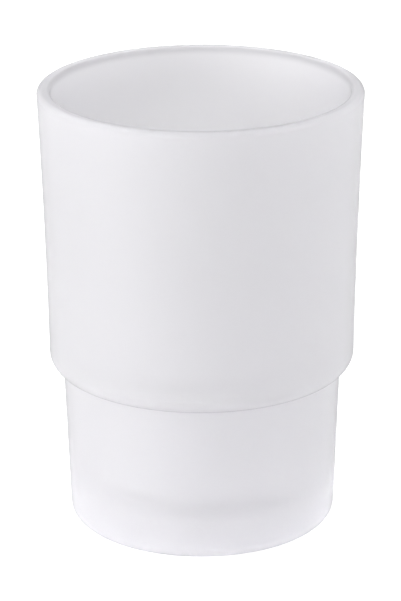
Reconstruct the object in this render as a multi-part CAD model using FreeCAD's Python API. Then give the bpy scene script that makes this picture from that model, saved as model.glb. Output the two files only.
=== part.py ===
"""Satin glass bathroom tumbler, stepped so that its shoulder rests on a ring holder.

The tumbler is one piece of pressed glass: a thick foot, a narrow neck that drops through the
ring, a rounded shoulder that sits on it, and a wider body that flares a little up to the lip.
Millimetres, +Z up, with the origin in the middle of the plane that the foot stands on.
"""

import FreeCAD, Part
import math
import os
from collections import namedtuple

from FreeCAD import Vector

# Outside
HEIGHT = 94.5            # lip above the resting plane
RIM_DIAMETER = 68.0      # at the lip
BODY_DIAMETER = 64.5     # wide body, where its wall meets the underside of the shoulder
NECK_DIAMETER = 58.8     # neck, right under the shoulder
FOOT_DIAMETER = 56.3     # where the neck's wall meets the resting plane
SEAT_HEIGHT = 33.7       # crease under the shoulder, where a ring holder carries the glass
SEAT_RISE = 0.8          # how much the underside of the shoulder rises from the crease outwards
BODY_HOLLOW = 0.58       # inward offset of the bend half way up the body's wall
NECK_HOLLOW = 0.18       # the same for the neck's wall

# Glass
BODY_WALL = 2.8
NECK_WALL = 3.0
FLOOR_THICKNESS = 9.0    # inside floor above the resting plane
STEP_LIFT = 1.0          # inside step's lower edge above the crease
STEP_RISE = 3.0          # height of the inside step

# Underside: a shallow recess, so that the glass stands on a ring
RING_WIDTH = 6.4         # from the foot's corner in to the recess
RECESS_DEPTH = 1.2
RECESS_SLOPE_WIDTH = 2.5

# Roundings
LIP_OUTER_ROUND = 1.1
LIP_INNER_ROUND = 0.8
SHOULDER_ROUND = 3.6
CREASE_ROUND = 0.25
FOOT_ROUND = 2.8
STEP_ROUND = 4.0
FLOOR_ROUND = 3.0
RING_ROUND = 0.8
RECESS_ROUND = 3.0

# Corners of the half section. A bend has no rounding: its two sides become one long curve.
Corner = namedtuple("Corner", "radius height rounding")
SHARP = 0.0
BEND = None

FULL_TURN = 360.0
SHORTEST_EDGE = 1e-6     # two roundings that meet leave no straight stretch between them


def bend_of_wall(lower, upper, hollow):
    """Bend half way along a wall, drawn in towards the axis by the wall's hollow."""
    radius = (lower.radius + upper.radius) / 2 - hollow
    height = (lower.height + upper.height) / 2
    return Corner(radius, height, BEND)


def outside_corners():
    """Corners of the outside, from the middle of the underside to the lip."""
    foot_radius = FOOT_DIAMETER / 2
    recess_radius = foot_radius - RING_WIDTH
    foot = Corner(foot_radius, 0.0, FOOT_ROUND)
    crease = Corner(NECK_DIAMETER / 2, SEAT_HEIGHT, CREASE_ROUND)
    shoulder = Corner(BODY_DIAMETER / 2, SEAT_HEIGHT + SEAT_RISE, SHOULDER_ROUND)
    lip = Corner(RIM_DIAMETER / 2, HEIGHT, LIP_OUTER_ROUND)
    return [
        Corner(0.0, RECESS_DEPTH, SHARP),
        Corner(recess_radius - RECESS_SLOPE_WIDTH, RECESS_DEPTH, RECESS_ROUND),
        Corner(recess_radius, 0.0, RING_ROUND),
        foot,
        bend_of_wall(foot, crease, NECK_HOLLOW),
        crease,
        shoulder,
        bend_of_wall(shoulder, lip, BODY_HOLLOW),
        lip,
    ]


def neck_radius(height):
    """Outside radius of the neck's taper at a height."""
    share = height / SEAT_HEIGHT
    return (FOOT_DIAMETER + (NECK_DIAMETER - FOOT_DIAMETER) * share) / 2


def inside_corners():
    """Corners of the inside, from the lip down to the middle of the floor."""
    step_height = SEAT_HEIGHT + STEP_LIFT
    lip = Corner(RIM_DIAMETER / 2 - BODY_WALL, HEIGHT, LIP_INNER_ROUND)
    step_top = Corner(BODY_DIAMETER / 2 - BODY_WALL, step_height + STEP_RISE, STEP_ROUND)
    step_foot = Corner(NECK_DIAMETER / 2 - NECK_WALL, step_height, STEP_ROUND)
    floor_edge = Corner(neck_radius(FLOOR_THICKNESS) - NECK_WALL, FLOOR_THICKNESS, FLOOR_ROUND)
    return [
        lip,
        bend_of_wall(step_top, lip, BODY_HOLLOW),
        step_top,
        step_foot,
        bend_of_wall(floor_edge, step_foot, NECK_HOLLOW),
        floor_edge,
        Corner(0.0, FLOOR_THICKNESS, SHARP),
    ]


def tangent_lengths(points, roundings):
    """Length that each corner's arc takes from its two sides, kept to what the sides have."""
    lengths = []
    for index, rounding in enumerate(roundings):
        to_last = points[index - 1] - points[index]
        to_next = points[(index + 1) % len(points)] - points[index]
        lengths.append((rounding or 0.0) / math.tan(to_last.getAngle(to_next) / 2))
    for index, point in enumerate(points):
        side = (points[index - 1] - point).Length
        wanted = lengths[index - 1] + lengths[index]
        if wanted > side:
            lengths[index - 1] *= side / wanted
            lengths[index] *= side / wanted
    return lengths


def towards(point, target, distance):
    """Point that lies a distance along the way from a point to a target."""
    return point + (target - point).normalize() * distance


def corner_arc(start, corner, end):
    """Arc from one side of a corner to the other, tangent to both."""
    half_angle = (start - corner).getAngle(end - corner) / 2
    reach = (start - corner).Length
    to_arc = reach * (1 - math.sin(half_angle)) / math.cos(half_angle)
    return Part.Arc(start, towards(corner, (start + end) / 2, to_arc), end)


def wall_curve(start, bend, end):
    """Curve along a hollow wall, tangent at its ends to the two sides of the bend."""
    curve = Part.BezierCurve()
    curve.setPoles([start, bend, end])
    return curve


def rounded_outline(corners):
    """Closed wire through the corners, with an arc at each rounding and a curve at each bend."""
    points = [Vector(corner.radius, 0, corner.height) for corner in corners]
    lengths = tangent_lengths(points, [corner.rounding for corner in corners])
    starts = []
    ends = []
    for index, point in enumerate(points):
        starts.append(towards(point, points[index - 1], lengths[index]))
        ends.append(towards(point, points[(index + 1) % len(points)], lengths[index]))
    curves = []
    for index, corner in enumerate(corners):
        last = index - 1
        if corner.rounding is BEND:
            curves.append(wall_curve(ends[last], points[index], starts[index + 1]))
            continue
        straight = (starts[index] - ends[last]).Length
        if corners[last].rounding is not BEND and straight > SHORTEST_EDGE:
            curves.append(Part.LineSegment(ends[last], starts[index]))
        if lengths[index] > 0:
            curves.append(corner_arc(starts[index], points[index], ends[index]))
    return Part.Wire([curve.toShape() for curve in curves])


def glass_tumbler():
    """The whole glass, turned from its half section."""
    section = Part.Face(rounded_outline(outside_corners() + inside_corners()))
    return section.revolve(Vector(0, 0, 0), Vector(0, 0, 1), FULL_TURN)


os.makedirs("parts", exist_ok=True)
glass_tumbler().exportStep("parts/glass_tumbler.step")
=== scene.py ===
"""A satin glass bathroom tumbler, standing on a white studio floor."""

import math

import bmesh
import bpy
from mathutils import Matrix, Vector


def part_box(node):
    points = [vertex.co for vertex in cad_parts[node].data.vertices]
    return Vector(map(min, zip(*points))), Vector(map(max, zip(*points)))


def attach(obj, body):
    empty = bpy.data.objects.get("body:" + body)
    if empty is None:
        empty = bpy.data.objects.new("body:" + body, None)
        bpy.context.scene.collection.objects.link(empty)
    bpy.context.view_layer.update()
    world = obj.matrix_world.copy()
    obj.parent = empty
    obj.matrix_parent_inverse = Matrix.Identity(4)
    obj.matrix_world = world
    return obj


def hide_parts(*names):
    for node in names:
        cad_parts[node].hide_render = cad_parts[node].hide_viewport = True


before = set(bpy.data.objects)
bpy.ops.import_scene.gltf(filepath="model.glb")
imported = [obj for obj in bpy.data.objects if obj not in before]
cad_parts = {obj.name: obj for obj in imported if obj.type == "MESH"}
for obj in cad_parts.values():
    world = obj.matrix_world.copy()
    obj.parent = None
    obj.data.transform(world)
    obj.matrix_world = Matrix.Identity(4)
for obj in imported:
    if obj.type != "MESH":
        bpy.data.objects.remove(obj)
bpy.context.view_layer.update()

# The glass
# One piece of pressed soda-lime glass: a thick foot, a narrow neck that drops into a ring holder, a rounded
# shoulder that rests on the ring, and a wide body that flares a little to the lip. After pressing, the lip
# and the foot's edge were ground level, and acid etched the whole surface to an even satin.
MM = 0.001
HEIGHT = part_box("glass_tumbler")[1].z
RIM_RADIUS = 34.0 * MM
BODY_RADIUS = 32.25 * MM
NECK_RADIUS = 29.4 * MM
FOOT_RADIUS = 28.15 * MM
SEAT_HEIGHT = 33.7 * MM
SEAT_RISE = 0.8 * MM
BODY_HOLLOW = 0.58 * MM
NECK_HOLLOW = 0.18 * MM
BODY_WALL = 2.8 * MM
NECK_WALL = 3.0 * MM
FLOOR_HEIGHT = 9.0 * MM
STEP_LIFT = 1.0 * MM
STEP_RISE = 3.0 * MM
RING_WIDTH = 6.4 * MM
RECESS_DEPTH = 1.2 * MM
RECESS_SLOPE_WIDTH = 2.5 * MM
LIP_OUTER_ROUNDING = 1.1 * MM
LIP_INNER_ROUNDING = 0.8 * MM
SHOULDER_ROUNDING = 3.6 * MM
CREASE_ROUNDING = 0.25 * MM
FOOT_ROUNDING = 2.8 * MM
STEP_ROUNDING = 4.0 * MM
FLOOR_ROUNDING = 3.0 * MM
RING_ROUNDING = 0.8 * MM
RECESS_ROUNDING = 3.0 * MM
WALL_BEND = 1400.0 * MM
SHARP = 0.0
ROUNDING_SEGMENTS = 12
SPIN_STEPS = 192
MERGE_DISTANCE = 0.001 * MM

GLASS_IOR = 1.5
TRANSMISSION = 0.65
DEEP_ETCH_COLOR = (0.95, 0.945, 0.965, 1)
LIGHT_ETCH_COLOR = (0.96, 0.955, 0.975, 1)
# Painted shade: the inside, its corner and step, the lip's inner rounding and contour and the glass seen
# edge-on are darkened in colour
INSIDE_SHADE_COLOR = (0.765, 0.76, 0.775, 1)
CORNER_SHADE_COLOR = (0.6, 0.595, 0.61, 1)
FOOT_COLOR = (0.92, 0.915, 0.935, 1)
LIP_SHADE_COLOR = (0.55, 0.545, 0.56, 1)
EDGE_ON_SHADE_COLOR = (0.85, 0.845, 0.86, 1)
SATIN_ROUGHNESS = 0.55
SATIN_ROUGHNESS_SPREAD = 0.03
FOOT_ROUGHNESS = 0.65
GROUND_ROUGHNESS = 1.0
ETCH_CLOUD_SIZE = 18.0 * MM
ETCH_CLOUD_DETAIL = 3.0
GRAIN_SIZE = 0.35 * MM
GRAIN_DETAIL = 2.0
GRAIN_DEPTH = 0.004 * MM
FOOT_ETCH_TOP = 8.5 * MM
FOOT_ETCH_FULL = 3.0 * MM
FOOT_GRIND_REACH = 0.9 * MM
LIP_GRIND_REACH = 2.0 * MM
STEP_SHADE_TOP = 43.0 * MM
STEP_SHADE_MIDDLE = 38.5 * MM
STEP_SHADE_FOOT = 36.0 * MM
CORNER_SHADE_TOP = 15.0 * MM
CORNER_SHADE_FULL = 10.0 * MM
EDGE_ON_START = 0.64
EDGE_ON_FULL = 1.0


def wall_bend(lower, upper, hollow):
    """Corner half way up a wall, drawn in by the wall's hollow and rounded to a long bend."""
    radius = (lower[0] + upper[0]) / 2 - hollow
    height = (lower[1] + upper[1]) / 2
    return (radius, height, WALL_BEND)


def half_section():
    """Corners of the glass as (radius, height, rounding), from the middle of its underside, up the
    outside, over the lip and down the inside to the middle of its floor."""
    recess_radius = FOOT_RADIUS - RING_WIDTH
    foot = (FOOT_RADIUS, 0.0, FOOT_ROUNDING)
    crease = (NECK_RADIUS, SEAT_HEIGHT, CREASE_ROUNDING)
    shoulder = (BODY_RADIUS, SEAT_HEIGHT + SEAT_RISE, SHOULDER_ROUNDING)
    lip = (RIM_RADIUS, HEIGHT, LIP_OUTER_ROUNDING)
    inner_lip = (RIM_RADIUS - BODY_WALL, HEIGHT, LIP_INNER_ROUNDING)
    step_top = (BODY_RADIUS - BODY_WALL, SEAT_HEIGHT + STEP_LIFT + STEP_RISE, STEP_ROUNDING)
    step_foot = (NECK_RADIUS - NECK_WALL, SEAT_HEIGHT + STEP_LIFT, STEP_ROUNDING)
    taper_at_floor = (NECK_RADIUS - FOOT_RADIUS) * FLOOR_HEIGHT / SEAT_HEIGHT
    floor_edge = (FOOT_RADIUS + taper_at_floor - NECK_WALL, FLOOR_HEIGHT, FLOOR_ROUNDING)
    return [
        (0.0, RECESS_DEPTH, SHARP),
        (recess_radius - RECESS_SLOPE_WIDTH, RECESS_DEPTH, RECESS_ROUNDING),
        (recess_radius, 0.0, RING_ROUNDING),
        foot,
        wall_bend(foot, crease, NECK_HOLLOW),
        crease,
        shoulder,
        wall_bend(shoulder, lip, BODY_HOLLOW),
        lip,
        inner_lip,
        wall_bend(step_top, inner_lip, BODY_HOLLOW),
        step_top,
        step_foot,
        wall_bend(floor_edge, step_foot, NECK_HOLLOW),
        floor_edge,
        (0.0, FLOOR_HEIGHT, SHARP),
    ]


def turned_glass():
    """Draws the half section, rounds each of its corners, spins it into the glass, and marks how far each
    point of the surface faces the axis, which tells the inside from the outside."""
    glass = bmesh.new()
    corners = half_section()
    verts = [glass.verts.new((radius, 0, height)) for radius, height, rounding in corners]
    places = [vert.co.copy() for vert in verts]
    for start, end in zip(verts, verts[1:]):
        glass.edges.new((start, end))
    for index in range(1, len(corners) - 1):
        to_last = places[index - 1] - places[index]
        to_next = places[index + 1] - places[index]
        rounding = corners[index][2]
        tangent_length = rounding / math.tan(to_last.angle(to_next) / 2)
        bmesh.ops.bevel(glass, geom=[verts[index]], offset=tangent_length, offset_type="OFFSET",
                        segments=ROUNDING_SEGMENTS, profile=0.5, affect="VERTICES", material=-1)
    bmesh.ops.spin(glass, geom=glass.verts[:] + glass.edges[:], cent=(0, 0, 0), axis=(0, 0, 1),
                   angle=math.tau, steps=SPIN_STEPS, use_merge=True)
    bmesh.ops.remove_doubles(glass, verts=glass.verts, dist=MERGE_DISTANCE)
    bmesh.ops.recalc_face_normals(glass, faces=glass.faces)
    for face in glass.faces:
        face.smooth = True
    mesh = bpy.data.meshes.new("satin_glass")
    glass.to_mesh(mesh)
    glass.free()
    faces_axis = mesh.attributes.new("faces_axis", "FLOAT", "POINT")
    for vert, mark in zip(mesh.vertices, faces_axis.data):
        outward = Vector((vert.co.x, vert.co.y, 0)).normalized()
        mark.value = max(0, -vert.normal.dot(outward))
    return mesh


def fade(tree, value, start, end):
    """Socket that rises softly from 0 where the value is at start to 1 where it is at end."""
    ramp = tree.nodes.new("ShaderNodeMapRange")
    ramp.interpolation_type = "SMOOTHSTEP"
    ramp.inputs["From Min"].default_value = start
    ramp.inputs["From Max"].default_value = end
    tree.links.new(value, ramp.inputs["Value"])
    return ramp.outputs["Result"]


def combined(tree, operation, first, second):
    """Socket that puts two sockets through one operation, such as MULTIPLY or MAXIMUM."""
    node = tree.nodes.new("ShaderNodeMath")
    node.operation = operation
    tree.links.new(first, node.inputs[0])
    tree.links.new(second, node.inputs[1])
    return node.outputs["Value"]


def laid_over(tree, kind, under, over, mask):
    """Socket that goes from a socket's value to the colour or number given, as the mask goes to 1."""
    mix = tree.nodes.new("ShaderNodeMix")
    mix.data_type = kind
    mix.inputs["B"].default_value = over
    tree.links.new(mask, mix.inputs["Factor"])
    tree.links.new(under, mix.inputs["A"])
    return mix.outputs["Result"]


def satin_glass_material():
    """Etched glass: slow clouds where the acid bit deeper, a fine grain, painted shade that greys the
    inside and is deepest at its corner and its step, a foot with a roughness of its own and a tone a shade
    darker towards the bottom, a rough ground lip and foot edge, painted shade on the lip's inner rounding
    and contour, and painted shade where the glass is seen edge-on."""
    material = bpy.data.materials.new("satin_glass")
    material.use_nodes = True
    tree = material.node_tree
    shader = tree.nodes["Principled BSDF"]
    shader.inputs["Transmission Weight"].default_value = TRANSMISSION
    shader.inputs["IOR"].default_value = GLASS_IOR

    # Where each finish and each painted shade lies
    place = tree.nodes.new("ShaderNodeTexCoord").outputs["Object"]
    split = tree.nodes.new("ShaderNodeSeparateXYZ")
    tree.links.new(place, split.inputs["Vector"])
    height = split.outputs["Z"]
    faces_axis = tree.nodes.new("ShaderNodeAttribute")
    faces_axis.attribute_name = "faces_axis"
    inside = faces_axis.outputs["Fac"]
    slant = tree.nodes.new("ShaderNodeLayerWeight").outputs["Facing"]
    # Painted shade where the glass is seen edge-on
    edge_on = fade(tree, slant, EDGE_ON_START, EDGE_ON_FULL)
    foot_etch = fade(tree, height, FOOT_ETCH_TOP, FOOT_ETCH_FULL)
    foot_grind = fade(tree, height, FOOT_GRIND_REACH, 0.0)
    lip_grind = fade(tree, height, HEIGHT - LIP_GRIND_REACH, HEIGHT)
    # Painted shade on the lip's inner rounding and where the lip is seen edge-on
    inside_or_edge_on = combined(tree, "MAXIMUM", inside, edge_on)
    lip_shade = combined(tree, "MULTIPLY", lip_grind, inside_or_edge_on)
    # Painted shade under the inner step and in the inner corner over the floor
    over_step = fade(tree, height, STEP_SHADE_TOP, STEP_SHADE_MIDDLE)
    under_step = fade(tree, height, STEP_SHADE_FOOT, STEP_SHADE_MIDDLE)
    step_height = combined(tree, "MULTIPLY", over_step, under_step)
    step_shade = combined(tree, "MULTIPLY", step_height, inside)
    corner_height = fade(tree, height, CORNER_SHADE_TOP, CORNER_SHADE_FULL)
    corner_shade = combined(tree, "MULTIPLY", corner_height, inside)

    # Tone
    clouds = tree.nodes.new("ShaderNodeTexNoise")
    clouds.inputs["Scale"].default_value = 1 / ETCH_CLOUD_SIZE
    clouds.inputs["Detail"].default_value = ETCH_CLOUD_DETAIL
    tree.links.new(place, clouds.inputs["Vector"])
    etch = tree.nodes.new("ShaderNodeMix")
    etch.data_type = "RGBA"
    etch.inputs["A"].default_value = DEEP_ETCH_COLOR
    etch.inputs["B"].default_value = LIGHT_ETCH_COLOR
    tree.links.new(clouds.outputs["Fac"], etch.inputs["Factor"])
    # Painted shade: the inside is darkened, as it gets less light than the outside
    color = laid_over(tree, "RGBA", etch.outputs["Result"], INSIDE_SHADE_COLOR, inside)
    # Painted shade in the inner corner over the floor and under the inner step
    color = laid_over(tree, "RGBA", color, CORNER_SHADE_COLOR, corner_shade)
    color = laid_over(tree, "RGBA", color, CORNER_SHADE_COLOR, step_shade)
    # The foot's tone is a shade darker, fading in towards the bottom
    color = laid_over(tree, "RGBA", color, FOOT_COLOR, foot_etch)
    # Painted shade on the top of the lip, on its inner rounding and its edge-on contour
    color = laid_over(tree, "RGBA", color, LIP_SHADE_COLOR, lip_shade)
    # Painted shade where the glass is seen edge-on, darkening its outlines
    color = laid_over(tree, "RGBA", color, EDGE_ON_SHADE_COLOR, edge_on)
    tree.links.new(color, shader.inputs["Base Color"])

    # Roughness
    satin = tree.nodes.new("ShaderNodeMapRange")
    satin.inputs["To Min"].default_value = SATIN_ROUGHNESS + SATIN_ROUGHNESS_SPREAD
    satin.inputs["To Max"].default_value = SATIN_ROUGHNESS - SATIN_ROUGHNESS_SPREAD
    tree.links.new(clouds.outputs["Fac"], satin.inputs["Value"])
    roughness = laid_over(tree, "FLOAT", satin.outputs["Result"], FOOT_ROUGHNESS, foot_etch)
    grind = combined(tree, "MAXIMUM", lip_grind, foot_grind)
    roughness = laid_over(tree, "FLOAT", roughness, GROUND_ROUGHNESS, grind)
    tree.links.new(roughness, shader.inputs["Roughness"])

    # Grain
    grain = tree.nodes.new("ShaderNodeTexNoise")
    grain.inputs["Scale"].default_value = 1 / GRAIN_SIZE
    grain.inputs["Detail"].default_value = GRAIN_DETAIL
    tree.links.new(place, grain.inputs["Vector"])
    etching = tree.nodes.new("ShaderNodeBump")
    etching.inputs["Distance"].default_value = GRAIN_DEPTH
    tree.links.new(grain.outputs["Fac"], etching.inputs["Height"])
    tree.links.new(etching.outputs["Normal"], shader.inputs["Normal"])
    return material


tumbler = bpy.data.objects.new("satin_glass", turned_glass())
bpy.context.scene.collection.objects.link(tumbler)
tumbler.data.materials.append(satin_glass_material())
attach(tumbler, "root")
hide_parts("glass_tumbler")

# The studio floor
# A round sheet of matt white paper, wide and laid flat. It carries the soft shadow of the glass, and what
# looks at it, the camera or the glass, finds it lifted to plain white.
PAPER_RADIUS = 1.3
PAPER_EDGES = 96
PAPER_COLOR = (0.85, 0.85, 0.85, 1)
PAPER_ROUGHNESS = 0.9
PAPER_SHEEN = 0.0
PAPER_LIFT = 0.5
LIFT_COLOR = (1, 1, 1, 1)


def rays_that_look(tree):
    """Socket that is 1 for rays from the camera and through or off the glass, and 0 for other light."""
    path = tree.nodes.new("ShaderNodeLightPath")
    off_glass = path.outputs["Is Glossy Ray"]
    through_glass = path.outputs["Is Transmission Ray"]
    by_glass = combined(tree, "MAXIMUM", off_glass, through_glass)
    return combined(tree, "MAXIMUM", path.outputs["Is Camera Ray"], by_glass)


def white_paper_material():
    """Matt paper with no sheen, and a lift that only rays that look at it find."""
    material = bpy.data.materials.new("white_paper")
    material.use_nodes = True
    tree = material.node_tree
    shader = tree.nodes["Principled BSDF"]
    shader.inputs["Base Color"].default_value = PAPER_COLOR
    shader.inputs["Roughness"].default_value = PAPER_ROUGHNESS
    shader.inputs["Specular IOR Level"].default_value = PAPER_SHEEN
    lift = tree.nodes.new("ShaderNodeMath")
    lift.operation = "MULTIPLY"
    lift.inputs[1].default_value = PAPER_LIFT
    tree.links.new(rays_that_look(tree), lift.inputs[0])
    shader.inputs["Emission Color"].default_value = LIFT_COLOR
    tree.links.new(lift.outputs["Value"], shader.inputs["Emission Strength"])
    return material


paper = bmesh.new()
bmesh.ops.create_circle(paper, cap_ends=True, segments=PAPER_EDGES, radius=PAPER_RADIUS)
paper_mesh = bpy.data.meshes.new("studio_floor")
paper.to_mesh(paper_mesh)
paper.free()
floor = bpy.data.objects.new("studio_floor", paper_mesh)
bpy.context.scene.collection.objects.link(floor)
floor.data.materials.append(white_paper_material())

# The studio light
# A broad soft box on the left gives the glass its bright side, a smaller one stands at its right, a very
# wide one hangs in front, and one hangs overhead. Past the paper the room has a low white wall, which the
# camera sees and the glass shows, and above the wall it is dark.
LAMP_DISTANCE = 2.2
LAMP_TARGET = Vector((0, 0, HEIGHT / 2))
WALL_COLOR = (1, 1, 1, 1)
# How far a line of sight climbs, as a share of its length, where the wall ends and where the dark begins
WALL_WHITE_TO = 0.1
WALL_DARK_FROM = 0.13
LIGHT_BOUNCES = 32


def soft_box(name, bearing, rise, width, height, power):
    """Soft box aimed at the middle of the glass. Its bearing goes from the camera round to the picture's
    right, and its rise goes up from level, both in degrees."""
    turn = Matrix.Rotation(math.radians(bearing), 4, "Z") @ Matrix.Rotation(math.radians(-rise), 4, "X")
    towards_lamp = turn @ Vector((0, -1, 0))
    lamp = bpy.data.lights.new(name, "AREA")
    lamp.shape = "RECTANGLE"
    lamp.size = width
    lamp.size_y = height
    lamp.energy = power
    box = bpy.data.objects.new(name, lamp)
    box.rotation_euler = (-towards_lamp).to_track_quat("-Z", "Y").to_euler()
    box.location = LAMP_TARGET + towards_lamp * LAMP_DISTANCE
    bpy.context.scene.collection.objects.link(box)


soft_box("key_left", bearing=-69, rise=10, width=2.1, height=0.7, power=41.0)
soft_box("fill_right", bearing=94, rise=10, width=1.6, height=0.7, power=24.5)
soft_box("front", bearing=0, rise=38, width=4.0, height=1.6, power=29.5)
soft_box("overhead", bearing=0, rise=89, width=1.4, height=1.4, power=25.5)

room = bpy.data.worlds.new("studio")
room.use_nodes = True
room_tree = room.node_tree
room_shader = room_tree.nodes["Background"]
room_shader.inputs["Color"].default_value = WALL_COLOR
line_of_sight = room_tree.nodes.new("ShaderNodeTexCoord").outputs["Generated"]
climb = room_tree.nodes.new("ShaderNodeSeparateXYZ")
room_tree.links.new(line_of_sight, climb.inputs["Vector"])
wall = fade(room_tree, climb.outputs["Z"], WALL_DARK_FROM, WALL_WHITE_TO)
wall_seen = combined(room_tree, "MULTIPLY", wall, rays_that_look(room_tree))
room_tree.links.new(wall_seen, room_shader.inputs["Strength"])
bpy.context.scene.world = room
bpy.context.scene.cycles.max_bounces = LIGHT_BOUNCES
bpy.context.scene.cycles.diffuse_bounces = LIGHT_BOUNCES
bpy.context.scene.cycles.glossy_bounces = LIGHT_BOUNCES
bpy.context.scene.cycles.transmission_bounces = LIGHT_BOUNCES

# The camera
# A long lens in front of the glass, a little above it, looking down into its mouth and leaning by a hair,
# with both angles in radians. Its focal length is counted in pixels of a picture of the height given here.
CAMERA_PLACE = (-0.22 * MM, -640.0 * MM, 277.6 * MM)
LOOKING_DOWN = 0.3451
TILT = -0.0045
FOCAL_PIXELS = 3214.0
PICTURE_HEIGHT = 601

camera_data = bpy.data.cameras.new("camera")
camera_data.lens = FOCAL_PIXELS * camera_data.sensor_width / PICTURE_HEIGHT
camera = bpy.data.objects.new("camera", camera_data)
aim = Matrix.Rotation(math.pi / 2 - LOOKING_DOWN, 4, "X") @ Matrix.Rotation(TILT, 4, "Z")
camera.matrix_world = Matrix.Translation(CAMERA_PLACE) @ aim
bpy.context.scene.collection.objects.link(camera)
bpy.context.scene.camera = camera
bpy.context.scene.view_settings.view_transform = "Standard"
